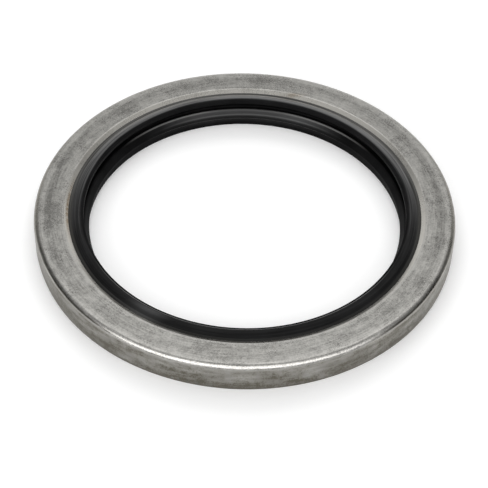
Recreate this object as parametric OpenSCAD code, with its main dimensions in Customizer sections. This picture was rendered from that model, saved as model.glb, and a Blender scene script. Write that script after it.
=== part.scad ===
// Lip seal for a rotating shaft: a drawn steel case, a rubber sealing element bonded to it and a garter spring.
// Every piece is turned about Z. The case stands on its open end at Z = 0, with its face up.

/* [Case] */
// Outside diameter of the case, pressed into its housing
outer_d = 100; // [94:0.5:112]
// Height of the case, from its open end to its face
case_h = 7.5; // [7:0.1:10]
// Thickness of the drawn sheet
sheet_t = 1.2; // [1.05:0.05:1.35]
// Inside radius of the bend from the face to the wall
bend_in_r = 0.3; // [0.2:0.05:0.6]
// Height of the lead-in at the open end of the wall
lead_in_h = 1; // [0.5:0.1:2]
// Depth of the lead-in below the outside of the wall
lead_in_depth = 0.2; // [0.1:0.05:0.4]
// Rounding of the cut edge at the open end
cut_edge_r = 0.12; // [0.05:0.01:0.2]
// Width of the coined slope from the face down to the line where the rubber starts
coined_w = 1.05; // [0.8:0.05:1.3]
// Depth of that line below the face
coined_drop = 0.65; // [0.55:0.05:0.75]
// Rounding where the face turns into the coined slope
coined_edge_r = 0.5; // [0.2:0.1:0.8]
// How far the steel runs on inside the rubber, past that line
tongue_w = 0.8; // [0.6:0.05:1]
// Depth of the tongue's upper side below the face
tongue_drop = 0.8; // [0.74:0.02:0.9]

/* [Excluder bead] */
// Diameter of the shaft that the seal runs on
shaft_d = 75; // [66:0.5:84]
// Running clearance between the bead's ledge and the shaft
bead_clearance = 0.75; // [0.5:0.05:1]
// Width of the ledge on the inside of the bead
ledge_w = 0.5; // [0.35:0.05:0.7]
// Depth of the ledge below the face, at the foot of the step
ledge_depth = 0.2; // [0.1:0.02:0.3]
// Fall of the ledge towards its inner edge
ledge_fall = 0.05; // [0:0.01:0.1]
// Width of the step from the ledge up to the bead's crest
step_w = 0.35; // [0.25:0.05:0.5]
// Height of the crest over the face, before its rounding
crest_h = 0.06; // [0:0.02:0.16]
// Width of the dome on the outside of the crest
dome_w = 1.3; // [1:0.05:1.5]
// Fall of the dome over that width
dome_fall = 0.28; // [0.2:0.02:0.36]
// Rounding where the dome runs out into the slope
dome_r = 3; // [1.5:0.5:3.5]
// Width of the slope from the dome down to the strip
bead_slope_w = 0.7; // [0.6:0.05:1]
// Width of the flat rubber strip between that slope and the steel
strip_w = 0.8; // [0.6:0.05:1]
// Depth of the strip's inner end below the face
strip_depth = 0.64; // [0.58:0.02:0.72]
// Rounding between the strip and the slope
strip_bend_r = 0.4; // [0.2:0.05:0.6]
// Rounding of the crest
crest_r = 0.35; // [0.2:0.05:0.4]
// Rounding at the foot of the step
step_r = 0.2; // [0.1:0.02:0.25]
// Rounding of the ledge's edge
ledge_r = 0.12; // [0.06:0.02:0.16]
// Depth of the bead's lower edge below the face
bead_foot_depth = 1.2; // [1:0.05:1.4]
// Rounding of the bead's lower edge
bead_foot_r = 0.2; // [0.1:0.02:0.25]

/* [Pocket] */
// Rubber over the inner end of the steel tongue, up to the pocket's back wall
tongue_cover = 1.1; // [0.9:0.05:1.3]
// Depth of the pocket's roof at its back wall, below the face
roof_depth = 1.8; // [1.6:0.05:2]
// Rounding of the pocket's roof
roof_r = 0.5; // [0.3:0.05:0.6]
// Depth of the pocket's floor at its back wall, below the face
floor_depth = 3.7; // [3.5:0.05:3.9]
// Rounding of the pocket's floor
floor_r = 0.5; // [0.3:0.05:0.6]

/* [Sealing lip] */
// How far the lip's upper rim stands back from the shaft's surface
lip_rim_back = 0.85; // [0.7:0.05:1]
// Depth of that rim below the face
lip_rim_depth = 2.85; // [2.7:0.05:3]
// Rounding of that rim
lip_rim_r = 0.1; // [0.05:0.01:0.15]
// Width of the steep brow from the rim down to the lip's cone
brow_w = 0.3; // [0.2:0.05:0.4]
// Height of that brow
brow_h = 0.28; // [0.2:0.02:0.36]
// Rounding at the foot of the brow
brow_r = 0.15; // [0.08:0.01:0.2]
// How far the free lip stands inside the shaft's surface
lip_squeeze = 0.35; // [0.2:0.05:0.7]
// Depth of the upper edge of the lip's contact band below the face
lip_depth = 4.65; // [4.4:0.05:4.8]
// Height of the lip's contact band
band_h = 0.3; // [0.2:0.05:0.4]
// Rounding of the contact band's edges
band_edge_r = 0.1; // [0.06:0.01:0.13]
// How far the bore stands back below the contact band
relief_back = 0.45; // [0.3:0.05:0.6]
// Height of the lip's lower flank, which runs out into the bore
relief_h = 0.5; // [0.35:0.05:0.7]
// Rounding where that flank ends
relief_r = 0.15; // [0.08:0.01:0.2]
// Clearance between the shaft and the bore's mouth at the open end
mouth_clearance = 0.1; // [0.05:0.05:0.4]
// Rounding of the bore's mouth
mouth_r = 0.15; // [0.1:0.05:0.3]
// Gap from the open end of the case up to the toe
toe_gap = 0.05; // [0.05:0.05:0.3]
// Rounding of the toe's outer edge
toe_r = 0.4; // [0.2:0.05:0.5]
// Width of the slope on the outside of the toe
toe_slope_w = 1.1; // [0.8:0.05:1.4]
// Height of the slope on the outside of the toe
toe_slope_h = 0.8; // [0.5:0.05:0.9]

/* [Web and skirt] */
// Thickness of the flexible web that carries the lip
web_t = 1.2; // [1:0.05:1.5]
// Depth of the shoulder where the head narrows to the web, below the face
shoulder_depth = 3.3; // [3.2:0.05:3.5]
// Height of that shoulder
shoulder_h = 0.45; // [0.3:0.05:0.6]
// Thickness of the rubber skirt bonded under the flange
skirt_t = 0.8; // [0.6:0.05:0.9]
// How far the skirt runs out under the flange, past the line where the rubber starts
skirt_reach = 1.2; // [0.8:0.1:1.6]
// Width of the skirt's sloping edge
skirt_edge_w = 0.4; // [0.2:0.05:0.6]
// Rounding of the corners of head, web and skirt
web_r = 0.3; // [0.2:0.05:0.35]

/* [Garter spring] */
// Outside diameter of the closely wound coil
coil_d = 1.9; // [1.6:0.05:2]
// Rubber between the shaft's surface and the floor of the spring's groove
head_t = 2.85; // [2.6:0.05:3.1]
// Depth of the spring's ring below the face
spring_depth = 4.75; // [4.6:0.05:4.85]
// Clearance of the groove round the coil
groove_clearance = 0.03; // [0.01:0.01:0.1]
// How far the groove's rims stand out past the middle of the coil
rim_overlap = 0.2; // [0.05:0.05:0.4]

/* [Hidden] */
$fn = 160;
// Largest turn between two points of a rounding, in degrees
arc_step = 12;

outer_r = outer_d / 2;
wall_r = outer_r - sheet_t;
flange_z = case_h - sheet_t;

shaft_r = shaft_d / 2;
bead_in_r = shaft_r + bead_clearance;
step_foot_r = bead_in_r + ledge_w;
crest_at = step_foot_r + step_w;
dome_out_r = crest_at + dome_w;
strip_in_r = dome_out_r + bead_slope_w;
steel_edge_r = strip_in_r + strip_w;
crest_z = case_h + crest_h;
ledge_z = case_h - ledge_depth;

slope_top_r = steel_edge_r + coined_w;
slope_foot_r = slope_top_r - coined_w * tongue_drop / coined_drop;
tongue_r = steel_edge_r - tongue_w;
tongue_z = case_h - tongue_drop;

pocket_r = tongue_r - tongue_cover;
lip_rim_at = shaft_r + lip_rim_back;
lip_rim_z = case_h - lip_rim_depth;
lip_r = shaft_r - lip_squeeze;
lip_z = case_h - lip_depth;
web_out_r = pocket_r + web_t;
shoulder_z = case_h - shoulder_depth;
skirt_out_r = steel_edge_r + skirt_reach;
skirt_z = flange_z - skirt_t;

coil_r = coil_d / 2;
groove_r = coil_r + groove_clearance;
groove_floor_r = shaft_r + head_t;
spring_r = groove_floor_r + coil_r;
spring_z = case_h - spring_depth;
head_r = spring_r + rim_overlap;

// Sections as corners in anticlockwise order, each [radius, height, rounding]
case_corners = [
    [wall_r, 0, cut_edge_r],
    [outer_r - lead_in_depth, 0, cut_edge_r],
    [outer_r, lead_in_h, cut_edge_r],
    [outer_r, case_h, bend_in_r + sheet_t],
    [slope_top_r, case_h, coined_edge_r],
    [slope_foot_r, tongue_z, 0],
    [tongue_r, tongue_z, 0],
    [tongue_r, flange_z, 0],
    [wall_r, flange_z, bend_in_r]
];

bead_corners = [
    [slope_foot_r, tongue_z, 0],
    [steel_edge_r, case_h - coined_drop, 0],
    [strip_in_r, case_h - strip_depth, strip_bend_r],
    [dome_out_r, crest_z - dome_fall, dome_r],
    [crest_at, crest_z, crest_r],
    [step_foot_r, ledge_z, step_r],
    [bead_in_r, ledge_z - ledge_fall, ledge_r],
    [bead_in_r, case_h - bead_foot_depth, bead_foot_r]
];

bore_corners = [
    [pocket_r, case_h - roof_depth, roof_r],
    [pocket_r, case_h - floor_depth, floor_r],
    [lip_rim_at, lip_rim_z, lip_rim_r],
    [lip_rim_at - brow_w, lip_rim_z - brow_h, brow_r],
    [lip_r, lip_z, band_edge_r],
    [lip_r, lip_z - band_h, band_edge_r],
    [lip_r + relief_back, lip_z - band_h - relief_h, relief_r],
    [shaft_r + mouth_clearance, toe_gap, mouth_r]
];

back_corners = [
    [head_r - toe_slope_w, toe_gap, toe_r],
    [head_r, toe_gap + toe_slope_h, web_r],
    [head_r, shoulder_z, web_r],
    [web_out_r, shoulder_z + shoulder_h, web_r],
    [web_out_r, skirt_z, web_r],
    [skirt_out_r, skirt_z, web_r],
    [skirt_out_r + skirt_edge_w, flange_z, 0],
    [tongue_r, flange_z, 0],
    [tongue_r, tongue_z, 0]
];

// Place of corner i, counted round the section, and the directions from it to its neighbours
function place(c, i) = let (k = c[(i + len(c)) % len(c)]) [k[0], k[1]];
function unit(v) = v / norm(v);
function back(c, i) = unit(place(c, i - 1) - place(c, i));
function ahead(c, i) = unit(place(c, i + 1) - place(c, i));

// Turn of the outline at corner i, in degrees: positive on an outside corner
function turn(c, i) = sign(cross(ahead(c, i), back(c, i))) * (180 - acos(back(c, i) * ahead(c, i)));

// Points of the arc that touches both sides of corner i, or the corner itself where it is sharp
function corner_points(c, i) =
    let (r = c[i][2], sweep = turn(c, i))
    r == 0 || sweep == 0 ? [place(c, i)] :
    let (
        side = sign(sweep) * [ahead(c, i)[1], -ahead(c, i)[0]],
        end = place(c, i) + ahead(c, i) * r * tan(abs(sweep) / 2),
        centre = end - side * r,
        last = atan2(side[1], side[0]),
        steps = ceil(abs(sweep) / arc_step)
    )
    [for (k = [steps:-1:0]) let (a = last - sweep * k / steps) centre + r * [cos(a), sin(a)]];

function rounded(c) = [for (i = [0:len(c) - 1]) each corner_points(c, i)];

// Drawn cup with a wide flange: its coined inner edge ends in a thin tongue inside the rubber
module steel_case() {
    color("silver")
        rotate_extrude() polygon(rounded(case_corners));
}

// One rubber moulding: strip and bead on the face, pocket and lip in the bore, web and skirt behind
module sealing_element() {
    color("dimgray")
        rotate_extrude() difference() {
            polygon(rounded(concat(bead_corners, bore_corners, back_corners)));
            translate([groove_floor_r + groove_r, spring_z]) circle(groove_r);
        }
}

// Closely wound coil joined into a ring, drawn as its envelope: it pulls the sealing lip inwards
module garter_spring() {
    color("gray")
        rotate_extrude() translate([spring_r, spring_z]) circle(coil_r);
}

steel_case();
sealing_element();
garter_spring();
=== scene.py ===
import math

import bmesh
import bpy
from mathutils import Matrix, Vector


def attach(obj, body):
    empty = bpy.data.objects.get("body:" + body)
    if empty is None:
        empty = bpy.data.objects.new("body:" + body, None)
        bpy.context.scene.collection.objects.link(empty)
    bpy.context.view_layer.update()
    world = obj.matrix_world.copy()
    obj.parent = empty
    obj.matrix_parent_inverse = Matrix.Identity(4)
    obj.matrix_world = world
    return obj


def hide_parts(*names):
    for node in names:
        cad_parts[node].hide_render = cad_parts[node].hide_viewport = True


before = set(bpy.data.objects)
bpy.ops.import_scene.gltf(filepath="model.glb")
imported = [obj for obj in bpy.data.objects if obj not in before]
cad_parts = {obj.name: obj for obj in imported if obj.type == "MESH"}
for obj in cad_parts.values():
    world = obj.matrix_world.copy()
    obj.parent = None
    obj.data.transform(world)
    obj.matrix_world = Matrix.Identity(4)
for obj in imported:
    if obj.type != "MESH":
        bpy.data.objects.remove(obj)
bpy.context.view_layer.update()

# Case: one cup drawn from 1.2 mm steel sheet, with a wide flat flange and a rounded bend into a short wall.
# The flange's inner edge is coined down to a thin tongue that runs on inside the rubber, and the cut end
# of the wall has a small lead-in. Bare satin steel, with pits, rubbed rings and stains from storage, and with
# painted light in its colour: a painted highlight on the front of the bend, painted shade on the wall and rim.
MM = 0.001
TURN_STEPS = 288
ARC_STEP = math.radians(9)
LONGEST_SPAN = 0.6 * MM
SMOOTH_ANGLE = math.radians(40)
WELD_GAP = 0.002 * MM

FACE_Z = 7.5
CASE_R = 50.0
SHEET_T = 1.2
BEND_R = 1.5
CUT_EDGE_R = 0.12
LEAD_IN, LEAD_IN_Z = 0.2, 1.0
STEEL_EDGE_R, STEEL_EDGE_Z = 41.9, 6.85
COIN_TOP_R, COIN_ROUNDING = 42.95, 0.5
TONGUE_R = 41.1
SLOPE_FOOT_R = 41.658
TONGUE_Z = 6.7
FACE_MID_R = 46.0
case_section = [
    (CASE_R - SHEET_T, 0, CUT_EDGE_R),
    (CASE_R - LEAD_IN, 0, CUT_EDGE_R),
    (CASE_R, LEAD_IN_Z, CUT_EDGE_R),
    (CASE_R, FACE_Z, BEND_R),
    (COIN_TOP_R, FACE_Z, COIN_ROUNDING),
    (SLOPE_FOOT_R, TONGUE_Z, 0),
    (TONGUE_R, TONGUE_Z, 0),
    (TONGUE_R, FACE_Z - SHEET_T, 0),
    (CASE_R - SHEET_T, FACE_Z - SHEET_T, BEND_R - SHEET_T),
]


def turned(name, corners):
    """Draws a section of (radius, height, rounding) corners in mm, rounds it and spins it about Z."""
    bpy.ops.object.select_all(action="DESELECT")
    first_r, first_z, _ = corners[0]
    bpy.ops.mesh.primitive_plane_add(size=MM, location=(first_r * MM, 0, first_z * MM))
    piece = bpy.context.object
    piece.name = piece.data.name = name
    bpy.ops.object.transform_apply(location=True, rotation=True, scale=True)
    bpy.ops.object.mode_set(mode="EDIT")
    bpy.ops.mesh.select_all(action="SELECT")
    bpy.ops.mesh.merge(type="CENTER")
    for (r0, z0, _), (r1, z1, _) in zip(corners, corners[1:]):
        step = ((r1 - r0) * MM, 0, (z1 - z0) * MM)
        bpy.ops.mesh.extrude_region_move(TRANSFORM_OT_translate={"value": step})
    bpy.ops.mesh.select_all(action="SELECT")
    bpy.ops.mesh.edge_face_add()
    round_corners(piece, corners)
    bpy.ops.mesh.select_all(action="SELECT")
    bpy.ops.mesh.delete(type="ONLY_FACE")
    split_long_spans(piece)
    bpy.ops.mesh.select_all(action="SELECT")
    bpy.ops.mesh.spin(steps=TURN_STEPS, angle=math.tau, center=(0, 0, 0), axis=(0, 0, 1))
    bpy.ops.mesh.select_all(action="SELECT")
    bpy.ops.mesh.remove_doubles(threshold=WELD_GAP)
    bpy.ops.mesh.normals_make_consistent(inside=False)
    bpy.ops.object.mode_set(mode="OBJECT")
    bpy.ops.object.shade_smooth_by_angle(angle=SMOOTH_ANGLE)
    return piece


def round_corners(piece, corners):
    """Bevels each corner of the section that has a rounding, with the arc's reach along its two sides."""
    count = len(corners)
    for i, (r, z, rounding) in enumerate(corners):
        if not rounding:
            continue
        here = Vector((r, z))
        before = (Vector(corners[i - 1][:2]) - here).normalized()
        after = (Vector(corners[(i + 1) % count][:2]) - here).normalized()
        sweep = math.pi - before.angle(after)
        bm = bmesh.from_edit_mesh(piece.data)
        place = Vector((r * MM, 0, z * MM))
        nearest = min(bm.verts, key=lambda v: (v.co - place).length)
        bpy.ops.mesh.select_all(action="DESELECT")
        nearest.select_set(True)
        bm.select_flush(True)
        bmesh.update_edit_mesh(piece.data)
        bpy.ops.mesh.bevel(
            affect="VERTICES",
            offset=rounding * math.tan(sweep / 2) * MM,
            segments=max(2, math.ceil(sweep / ARC_STEP)),
        )


def split_long_spans(piece):
    """Cuts the section's long straight lines into short ones, so that flat faces shade flat."""
    for cuts in (5, 1, 1):
        bm = bmesh.from_edit_mesh(piece.data)
        bpy.ops.mesh.select_all(action="DESELECT")
        for edge in bm.edges:
            edge.select_set(edge.calc_length() > LONGEST_SPAN)
        bmesh.update_edit_mesh(piece.data)
        bpy.ops.mesh.subdivide(number_cuts=cuts)


class Value:
    """One number that varies over a surface: a socket of a finish, with arithmetic."""

    def __init__(self, finish, socket):
        self.finish = finish
        self.socket = socket

    def math(self, operation, *others, clamp=False):
        inputs = {0: self, **{i + 1: other for i, other in enumerate(others)}}
        return self.finish.node("ShaderNodeMath", {"operation": operation, "use_clamp": clamp}, inputs)

    def __add__(self, other):
        return self.math("ADD", other)

    def __sub__(self, other):
        return self.math("SUBTRACT", other)

    def __rsub__(self, other):
        return (self * -1.0) + other

    def __mul__(self, other):
        return self.math("MULTIPLY", other)

    def __truediv__(self, other):
        return self.math("DIVIDE", other)

    def __pow__(self, other):
        return self.math("POWER", other)

    __radd__ = __add__
    __rmul__ = __mul__

    def part(self, axis):
        """One of the three parts of a place or direction."""
        return self.finish.node("ShaderNodeSeparateXYZ", {}, {"Vector": self}, axis)

    def rise(self, low, high):
        """0 below low, 1 above high and smooth between: high may be the smaller one."""
        return self.finish.node(
            "ShaderNodeMapRange",
            {"interpolation_type": "SMOOTHSTEP"},
            {"Value": self, "From Min": low, "From Max": high},
        )

    def band(self, middle, half):
        """1 at middle, falling smoothly to 0 at half on either side."""
        return (self - middle).math("ABSOLUTE").rise(half, 0.0)


class Nodes:
    """The nodes of one material, or of the room. All of them come from node()."""

    def __init__(self, tree):
        self.tree = tree
        self.tree.nodes.clear()

    def node(self, kind, settings, inputs, output=0):
        made = self.tree.nodes.new(kind)
        for name, setting in settings.items():
            setattr(made, name, setting)
        for name, value in inputs.items():
            socket = made.inputs[name]
            if isinstance(value, Value):
                self.tree.links.new(value.socket, socket)
            elif socket.type == "RGBA":
                socket.default_value = (*value, 1)
            else:
                socket.default_value = value
        return Value(self, made.outputs[output]) if made.outputs else None


class Finish(Nodes):
    """A material of one surface. Places on it are in mm."""

    def __init__(self, name):
        self.material = bpy.data.materials.new(name)
        self.material.use_nodes = True
        super().__init__(self.material.node_tree)
        self.place = self.node("ShaderNodeTexCoord", {}, {}, "Object")
        self.x, self.y, self.z = [self.place.part(axis) / MM for axis in "XYZ"]
        self.r = (self.x * self.x + self.y * self.y) ** 0.5

    def noise(self, size, detail=3.0, roughness=0.5, seed=0.0):
        """Soft spots of about that size in mm."""
        vector = self.node("ShaderNodeVectorMath", {"operation": "ADD"}, {0: self.place, 1: (seed, seed, seed)})
        inputs = {"Vector": vector, "Scale": 1 / (size * MM), "Detail": detail, "Roughness": roughness}
        return self.node("ShaderNodeTexNoise", {}, inputs)

    def rings(self, width, stretch, detail=2.0, seed=0.0):
        """Streaks that run round the axis: width in mm across, stretch times as long."""
        length = FACE_MID_R / (width * stretch)
        inputs = {
            "X": self.x / self.r * length + seed,
            "Y": self.y / self.r * length,
            "Z": (self.r - self.z) / width,
        }
        vector = self.node("ShaderNodeCombineXYZ", {}, inputs)
        return self.node("ShaderNodeTexNoise", {}, {"Vector": vector, "Scale": 1.0, "Detail": detail})

    def spot(self, x, y, half_x, half_y):
        """1 at a place on the face, falling to 0 at half_x and half_y from it, in mm."""
        across, along = (self.x - x) / half_x, (self.y - y) / half_y
        return ((across * across + along * along) ** 0.5).rise(1.0, 0.0)

    def mix(self, factor, first, second):
        """From one colour to another."""
        return self.node("ShaderNodeMix", {"data_type": "RGBA"}, {0: factor, 6: first, 7: second}, 2)

    def shader(self, bump, bump_depth, **sockets):
        """A Principled shader with its relief in mm."""
        normal = self.node("ShaderNodeBump", {}, {"Height": bump, "Strength": 1.0, "Distance": bump_depth * MM})
        inputs = {name.replace("_", " "): value for name, value in sockets.items()}
        return self.node("ShaderNodeBsdfPrincipled", {}, {**inputs, "Normal": normal})

    def surface(self, shader):
        """Joins a shader to the material."""
        self.node("ShaderNodeOutputMaterial", {}, {"Surface": shader})
        return self.material


HIGHLIGHT_BEND_R, RUBBED_AND_LIT_RIM_R, DULL_AND_SHADED_RING_R, INNER_RING_R = 49.55, 48.1, 46.6, 44.0
SATIN_DARK, SATIN_LIGHT = (0.23, 0.225, 0.211), (0.6, 0.589, 0.557)
PAINTED_HIGHLIGHT_STEEL = (0.78, 0.76, 0.725)
WALL_GRIME_AND_SHADE = (0.118, 0.108, 0.084)
COINED_SLOPE = (0.52, 0.48, 0.4)
RUST = (0.2, 0.13, 0.06)
PIT_DEPTH = 0.02
case = turned("case_sheet", case_section)
steel = Finish("bare_case_steel")
grain = steel.noise(0.35, 3.0, 0.7)
mottle = steel.noise(1.6, 4.0, 0.65, 3.1)
blotch = steel.noise(9.0, 3.0, 0.55, 7.7)
streaks = steel.rings(0.3, 16.0)
on_wall = steel.z.rise(6.9, 6.1)
coined = steel.r.rise(COIN_TOP_R + 0.05, COIN_TOP_R - 0.2)
tone = 0.5 + 1.3 * (grain - 0.5) + 0.9 * (mottle - 0.5) + 0.8 * (blotch - 0.5) + 0.9 * (streaks - 0.5)
# The coined ridge is painted lighter towards the front: a painted highlight. The whole coined slope is lighter
# all round.
tone = tone + 0.45 * steel.r.band(COIN_TOP_R + 0.15, 0.5) * steel.y.rise(25.0, -25.0) + 0.45 * coined
# Painted light in the face's tone: the rubbed rim and the inner ring are lighter behind than in front, the dull
# ring is darker at the sides, and the face is lighter behind and to the right.
near = steel.y.rise(10.0, -30.0)
tone = tone + (0.25 - 0.15 * near) * steel.r.band(RUBBED_AND_LIT_RIM_R, 1.0)
tone = tone + (0.12 - 0.16 * near) * steel.r.band(INNER_RING_R, 1.2)
tone = tone - (0.08 + 0.16 * steel.y.math("ABSOLUTE").rise(32.0, 10.0)) * steel.r.band(DULL_AND_SHADED_RING_R, 1.8)
tone = tone + 0.09 * steel.y.rise(15.0, 40.0) + 0.05 * (steel.x.rise(20.0, 40.0) - steel.x.rise(-20.0, -40.0))
colour = steel.mix(tone.rise(-0.1, 1.1), SATIN_DARK, SATIN_LIGHT)
aside = steel.x.math("ABSOLUTE").rise(26.0, 36.0)
# Painted highlight: a light band painted on the front of the bend, not at the sides, speckled by the grain.
painted_bend_highlight = steel.r.band(HIGHLIGHT_BEND_R, 0.6) * steel.z.rise(6.5, 6.8) * steel.y.rise(-18.0, -30.0) * (1.0 - aside)
bright = painted_bend_highlight * (0.62 + 2.4 * (grain - 0.5) + 1.2 * (streaks - 0.5)).math("MAXIMUM", 0.0)
colour = steel.mix(bright, colour, PAINTED_HIGHLIGHT_STEEL)
stain = steel.rings(1.5, 4.0, 2.0, 5.0)
# Wall: stains and streaks, darker towards the bottom, with painted shade that makes it darker at the sides.
grime_and_shade = 0.46 + 0.2 * aside + 0.25 * steel.z.rise(5.5, 0.5) + 0.4 * steel.z.rise(1.1, 0.3)
grime_and_shade = grime_and_shade + 1.5 * (mottle - 0.5) + 0.8 * (streaks - 0.5) + 1.6 * (grain - 0.5) + 1.4 * (stain - 0.5)
grime_and_shade = (on_wall * grime_and_shade).math("MAXIMUM", 0.0)
# Painted shade: the outer rim of the bend is darkened on the back half.
grime_and_shade = grime_and_shade.math("MAXIMUM", steel.r.rise(48.7, 49.2) * steel.y.rise(-32.0, -5.0) * 0.6)
# Painted shade: a dark line along the bend at the left and right.
grime_and_shade = grime_and_shade.math("MAXIMUM", steel.r.band(49.65, 0.25) * steel.z.rise(6.3, 6.7) * aside * 0.8)
colour = steel.mix(grime_and_shade.math("MINIMUM", 0.95), colour, WALL_GRIME_AND_SHADE)
colour = steel.mix(coined * 0.2, colour, COINED_SLOPE)
rust_left = steel.r.band(42.1, 0.6) * steel.spot(-41.5, -2.0, 7.0, 15.0) * (0.35 + 0.6 * mottle.rise(0.35, 0.6))
rust_back = steel.spot(11.5, 41.0, 5.5, 1.0) * mottle.rise(0.3, 0.6) * 0.5
colour = steel.mix((rust_left + rust_back).math("MINIMUM", 0.85), colour, RUST)
rough = 0.3 + 0.2 * (grain - 0.5) + 0.2 * (blotch - 0.5) + 0.1 * on_wall + 0.06 * painted_bend_highlight
relief = grain * 0.6 + mottle * 0.5 + streaks * 0.4
case.data.materials.append(
    steel.surface(steel.shader(relief, PIT_DEPTH, Base_Color=colour, Roughness=rough, Metallic=1.0))
)
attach(case, "root")
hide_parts("steel_case")

# Sealing element: one black rubber moulding, bonded round the coined tongue of the case. On the face it has
# a flat strip and a low bead, in the bore an undercut pocket and the sealing lip, and behind it a thin web
# carries the head, which is grooved for the spring, with a skirt under the flange.
STRIP_R, STRIP_Z = 41.1, 6.86
BEAD_FALL_R, BEAD_FALL_Z = 40.4, 7.28
CREST_R, CREST_Z = 39.1, 7.56
STEP_R, STEP_Z = 38.75, 7.3
BORE_R, LEDGE_Z, BEAD_FOOT_Z = 38.25, 7.25, 6.3
POCKET_R, POCKET_TOP_Z, POCKET_FLOOR_Z = 40.0, 5.7, 3.8
LIP_RIM_R, LIP_RIM_Z = 38.35, 4.65
BROW_R, BROW_Z = 38.05, 4.37
LIP_R, LIP_TOP_Z, LIP_FOOT_Z = 37.15, 2.85, 2.55
MOUTH_R, MOUTH_Z = 37.6, 2.05
TOE_R, TOE_Z, TOE_TOP_Z = 40.4, 0.05, 0.85
HEAD_R, SHOULDER_Z = 41.5, 4.2
WEB_R, WEB_FOOT_Z, WEB_ROUNDING = 41.2, 4.65, 0.3
SKIRT_R, SKIRT_EDGE_R, SKIRT_Z = 43.1, 43.5, 5.5
SPRING_Z = 2.75
GROOVE_AT = 41.33
GROOVE_R = 0.98
groove_half = math.acos((HEAD_R - GROOVE_AT) / GROOVE_R)
GROOVE_POINTS = 26
groove_angles = [
    -groove_half - i / GROOVE_POINTS * (math.tau - 2 * groove_half) for i in range(GROOVE_POINTS + 1)
]
groove_section = [
    (GROOVE_AT + GROOVE_R * math.cos(a), SPRING_Z + GROOVE_R * math.sin(a), 0) for a in groove_angles
]
rubber_section = [
    (SLOPE_FOOT_R, TONGUE_Z, 0),
    (STEEL_EDGE_R, STEEL_EDGE_Z, 0),
    (STRIP_R, STRIP_Z, 0.4),
    (BEAD_FALL_R, BEAD_FALL_Z, 3.0),
    (CREST_R, CREST_Z, 0.35),
    (STEP_R, STEP_Z, 0.2),
    (BORE_R, LEDGE_Z, 0.12),
    (BORE_R, BEAD_FOOT_Z, 0.2),
    (POCKET_R, POCKET_TOP_Z, 0.5),
    (POCKET_R, POCKET_FLOOR_Z, 0.5),
    (LIP_RIM_R, LIP_RIM_Z, 0.1),
    (BROW_R, BROW_Z, 0.15),
    (LIP_R, LIP_TOP_Z, 0.1),
    (LIP_R, LIP_FOOT_Z, 0.1),
    (MOUTH_R, MOUTH_Z, 0.15),
    (MOUTH_R, TOE_Z, 0.15),
    (TOE_R, TOE_Z, 0.4),
    (HEAD_R, TOE_TOP_Z, WEB_ROUNDING),
    *groove_section,
    (HEAD_R, SHOULDER_Z, WEB_ROUNDING),
    (WEB_R, WEB_FOOT_Z, WEB_ROUNDING),
    (WEB_R, SKIRT_Z, WEB_ROUNDING),
    (SKIRT_R, SKIRT_Z, WEB_ROUNDING),
    (SKIRT_EDGE_R, FACE_Z - SHEET_T, 0),
    (TONGUE_R, FACE_Z - SHEET_T, 0),
    (TONGUE_R, TONGUE_Z, 0),
]
RUBBER_DEEP, RUBBER_CLOUDED = (0.003, 0.003, 0.0031), (0.007, 0.007, 0.0073)
FLASH_BROWN = (0.024, 0.023, 0.019)
PAINTED_HIGHLIGHT_GREY = (0.1, 0.098, 0.094)
DUST_TINT = (1.0, 0.98, 0.95)
SKIN_DEPTH = 0.006
rubber = turned("rubber_lip", rubber_section)
black = Finish("black_moulded_rubber")
skin = black.noise(0.5, 3.0, 0.6)
cloud = black.noise(6.0, 3.0, 0.5, 2.3)
mould = black.rings(0.16, 60.0, 1.0, 4.0)
# Mould flash beside the steel, faded towards the front as painted shade.
flash_and_front_shade = black.r.rise(40.9, 41.3) * black.z.rise(6.4, 6.6) * (0.3 + 0.7 * black.y.rise(-30.0, 0.0))
colour = black.mix(cloud.rise(0.3, 0.75), RUBBER_DEEP, RUBBER_CLOUDED)
colour = black.mix(flash_and_front_shade * 0.8, colour, FLASH_BROWN)
# Painted highlights in grey: a line on the lip's brow behind, away from the middle, and a line on the bead's
# step in front.
brow = black.z.rise(4.3, 4.5) * black.z.rise(5.2, 4.8) * black.r.rise(38.6, 38.4)
brow = brow * black.x.math("ABSOLUTE").rise(4.0, 13.0) * black.y.rise(22.0, 30.0)
step = black.r.band(38.88, 0.18) * black.z.rise(7.1, 7.25) * black.y.rise(-15.0, -32.0)
colour = black.mix(brow.math("MAXIMUM", step) * 0.85, colour, PAINTED_HIGHLIGHT_GREY)
rough = 0.3 + 0.1 * (cloud - 0.5) + 0.1 * (mould - 0.5) + 0.1 * flash_and_front_shade
relief = skin * 0.4 + mould * 0.6
matt = black.shader(relief, SKIN_DEPTH, Base_Color=colour, Roughness=rough + 0.2, Specular_IOR_Level=0.05)
on_face = black.r.rise(38.7, 39.2) * black.z.rise(6.5, 6.8) * (0.2 + 0.8 * black.y.rise(-20.0, 25.0))
oiled = 0.2 * black.z.rise(1.0, 1.6) + 0.4 * black.z.rise(3.05, 3.4) + 0.4 * black.z.band(3.5, 0.25)
oiled = oiled * black.y.rise(27.0, 36.5) * black.r.rise(38.6, 38.4) * black.z.rise(5.2, 4.8)
lines = black.rings(0.4, 60.0, 1.0, 9.0)
on_face = on_face * (1.0 + 2.6 * (lines - 0.5)).math("MAXIMUM", 0.0)
rubbed = black.spot(-21.0, -33.5, 11.0, 7.0) * black.r.rise(38.9, 39.3) * black.z.rise(6.5, 6.8) * 0.7
on_face = on_face.math("MAXIMUM", 0.9 * step).math("MAXIMUM", rubbed)
gloss = on_face.math("MAXIMUM", oiled).math("MAXIMUM", brow)
dusty = black.shader(
    relief,
    SKIN_DEPTH,
    Base_Color=colour,
    Roughness=rough,
    Coat_Weight=gloss,
    Coat_Roughness=0.28,
    Sheen_Weight=1.0,
    Sheen_Roughness=0.25,
    Sheen_Tint=DUST_TINT,
)
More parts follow.
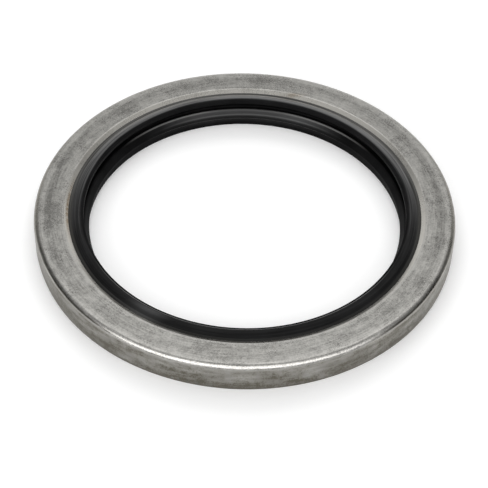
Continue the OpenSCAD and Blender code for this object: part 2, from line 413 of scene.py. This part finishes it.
both = black.node("ShaderNodeMixShader", {}, {0: gloss, 1: matt, 2: dusty})
rubber.data.materials.append(black.surface(both))
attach(rubber, "root")
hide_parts("sealing_element")

# Garter spring: hard-drawn steel wire wound coil on coil, with its two ends screwed together into a ring.
# It snaps into the groove behind the head and pulls the sealing edge onto the shaft.
WIRE_R = 0.2
COIL_R = 0.95
SPRING_R = 41.3
TURNS = 600
WIRE_SIDES = 6
TURN_POINTS = 10
COIL_SMOOTH_ANGLE = math.radians(70)
COIL_WELD_GAP = 0.001 * MM
RING_LINE_STEPS = 96
WIRE_OILED, WIRE_BRIGHT = (0.36, 0.36, 0.37), (0.55, 0.545, 0.53)
SCUFF_DEPTH = 0.01
ring_length = math.tau * SPRING_R * MM
bpy.ops.object.select_all(action="DESELECT")
bpy.ops.mesh.primitive_circle_add(
    vertices=WIRE_SIDES,
    radius=WIRE_R * MM,
    location=(0, 0, (COIL_R - WIRE_R) * MM),
    rotation=(math.pi / 2, 0, 0),
)
spring = bpy.context.object
spring.name = spring.data.name = "garter_coil"
bpy.ops.object.transform_apply(location=True, rotation=True, scale=True)
winding = spring.modifiers.new("winding", "SCREW")
winding.axis = "X"
winding.steps = winding.render_steps = TURN_POINTS
winding.iterations = TURNS
winding.screw_offset = ring_length / TURNS
winding.use_merge_vertices = True
winding.merge_threshold = COIL_WELD_GAP
bpy.ops.object.modifier_apply(modifier="winding")
bpy.ops.curve.primitive_bezier_circle_add(radius=SPRING_R * MM, location=(0, 0, 0))
ring_line = bpy.context.object
ring_line.data.resolution_u = RING_LINE_STEPS
bpy.ops.object.select_all(action="DESELECT")
spring.select_set(True)
bpy.context.view_layer.objects.active = spring
closing = spring.modifiers.new("closing", "CURVE")
closing.object = ring_line
closing.deform_axis = "POS_X"
bpy.ops.object.modifier_apply(modifier="closing")
bpy.data.objects.remove(ring_line)
bpy.ops.object.mode_set(mode="EDIT")
bpy.ops.mesh.select_all(action="SELECT")
bpy.ops.transform.translate(value=(0, 0, SPRING_Z * MM))
bpy.ops.mesh.remove_doubles(threshold=COIL_WELD_GAP)
bpy.ops.mesh.normals_make_consistent(inside=False)
bpy.ops.object.mode_set(mode="OBJECT")
bpy.ops.object.shade_smooth_by_angle(angle=COIL_SMOOTH_ANGLE)
wire = Finish("drawn_spring_wire")
oil = wire.noise(4.0, 2.0)
scuff = wire.noise(0.3, 2.0)
colour = wire.mix(oil.rise(0.3, 0.7), WIRE_OILED, WIRE_BRIGHT)
spring.data.materials.append(
    wire.surface(wire.shader(scuff, SCUFF_DEPTH, Base_Color=colour, Roughness=0.28 + 0.14 * oil, Metallic=1.0))
)
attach(spring, "root")
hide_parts("garter_spring")

# Studio: a white table in a dim room, with three soft boxes on the camera's side, one overhead and one behind.
# The table shows white to the camera and in reflections, and keeps the shadow of the seal. The box behind casts
# the shadow in front of the seal, and the steel doesn't mirror it.
TABLE_HALF = 3.0
TABLE_Z = -0.00002
TABLE_FILL = 0.15
TABLE_WHITE = (0.9, 0.9, 0.9)
PLAIN_WHITE = (1.0, 1.0, 1.0)
bpy.ops.object.select_all(action="DESELECT")
bpy.ops.mesh.primitive_plane_add(size=2 * TABLE_HALF, location=(0, 0, TABLE_Z))
table = bpy.context.object
table.name = "table"
white = Finish("white_table")
camera_ray, glossy_ray, clear_ray = [
    white.node("ShaderNodeLightPath", {}, {}, name)
    for name in ("Is Camera Ray", "Is Glossy Ray", "Is Transmission Ray")
]
seen = camera_ray.math("MAXIMUM", glossy_ray).math("MAXIMUM", clear_ray)
paint = white.node("ShaderNodeBsdfDiffuse", {}, {"Color": TABLE_WHITE})
fill = white.node("ShaderNodeEmission", {}, {"Color": PLAIN_WHITE, "Strength": seen * TABLE_FILL})
painted = white.node("ShaderNodeAddShader", {}, {0: paint, 1: fill})
clear = white.node("ShaderNodeBsdfTransparent", {}, {})
side = white.node("ShaderNodeNewGeometry", {}, {}, "Backfacing")
sheet = white.node("ShaderNodeMixShader", {}, {0: side, 1: painted, 2: clear})
white.node("ShaderNodeOutputMaterial", {}, {"Surface": sheet})
table.data.materials.append(white.material)


def soft_box(name, place, width, depth, watts):
    """A rectangular lamp that faces the seal and doesn't show in the picture."""
    data = bpy.data.lights.new(name, "AREA")
    data.shape = "RECTANGLE"
    data.size, data.size_y = width, depth
    data.energy = watts
    lamp = bpy.data.objects.new(name, data)
    bpy.context.collection.objects.link(lamp)
    lamp.location = place
    lamp.rotation_euler = Vector(place).to_track_quat("Z", "Y").to_euler()
    lamp.visible_camera = False
    return lamp


soft_box("left_box", (-0.7, -0.74, 0.62), 0.8, 0.6, 3.8)
soft_box("right_box", (0.68, -0.76, 0.62), 0.8, 0.6, 2.6)
soft_box("front_box", (0, -0.9, 0.78), 0.8, 0.9, 4.4)
soft_box("top_box", (0, 0.42, 0.99), 1.0, 0.6, 1.6)
soft_box("back_box", (0, 0.85, 0.75), 1.2, 0.5, 5.0).visible_glossy = False

room = bpy.data.worlds.new("room")
bpy.context.scene.world = room
room.use_nodes = True
air = Nodes(room.node_tree)
ray = air.node("ShaderNodeTexCoord", {}, {}, "Generated")
height = ray.part("Z")
behind = (ray.part("Y") - 0.6 * ray.part("X").math("ABSOLUTE")).rise(0.0, 0.3)
backdrop = behind * (0.4 + 0.5 * height.rise(0.6, 0.3)) * height.rise(0.9, 0.7)
glow = 0.05 + (0.44 * height.rise(0.45, 0.8)).math("MAXIMUM", backdrop)
dim = air.node("ShaderNodeBackground", {}, {"Color": PLAIN_WHITE, "Strength": glow})
page = air.node("ShaderNodeBackground", {}, {"Color": PLAIN_WHITE, "Strength": 1.0})
camera_ray = air.node("ShaderNodeLightPath", {}, {}, "Is Camera Ray")
pick = air.node("ShaderNodeMixShader", {}, {0: camera_ray, 1: dim, 2: page})
air.node("ShaderNodeOutputWorld", {}, {"Surface": pick})
bpy.context.scene.view_settings.view_transform = "Standard"

# Camera: a long lens, looking down on the face at 45.8 degrees and turned by 1.3 degrees.
# Its focal length is in picture widths, and its aim in radii of the case.
ELEVATION = 0.79926
ROLL = -0.02301
FOCAL = 1578.88 / 488
AIM = (0.0048 * CASE_R * MM, 0.18148 * CASE_R * MM, 7.5 * CASE_R * MM)
tilted = Vector((0, math.sin(ELEVATION), math.cos(ELEVATION)))
ahead = Vector((0, math.cos(ELEVATION), -math.sin(ELEVATION)))
right = math.cos(ROLL) * Vector((1, 0, 0)) - math.sin(ROLL) * tilted
up = math.sin(ROLL) * Vector((1, 0, 0)) + math.cos(ROLL) * tilted
camera_data = bpy.data.cameras.new("camera")
camera_data.sensor_width = 36.0
camera_data.lens = FOCAL * camera_data.sensor_width
camera_data.clip_start, camera_data.clip_end = 0.01, 20
camera = bpy.data.objects.new("camera", camera_data)
bpy.context.collection.objects.link(camera)
turn = Matrix((right, up, -ahead)).transposed().to_4x4()
stand = Vector((0, 0, FACE_Z * MM)) - AIM[0] * right - AIM[1] * up - AIM[2] * ahead
camera.matrix_world = Matrix.Translation(stand) @ turn
bpy.context.scene.camera = camera

bpy.context.view_layer.update()
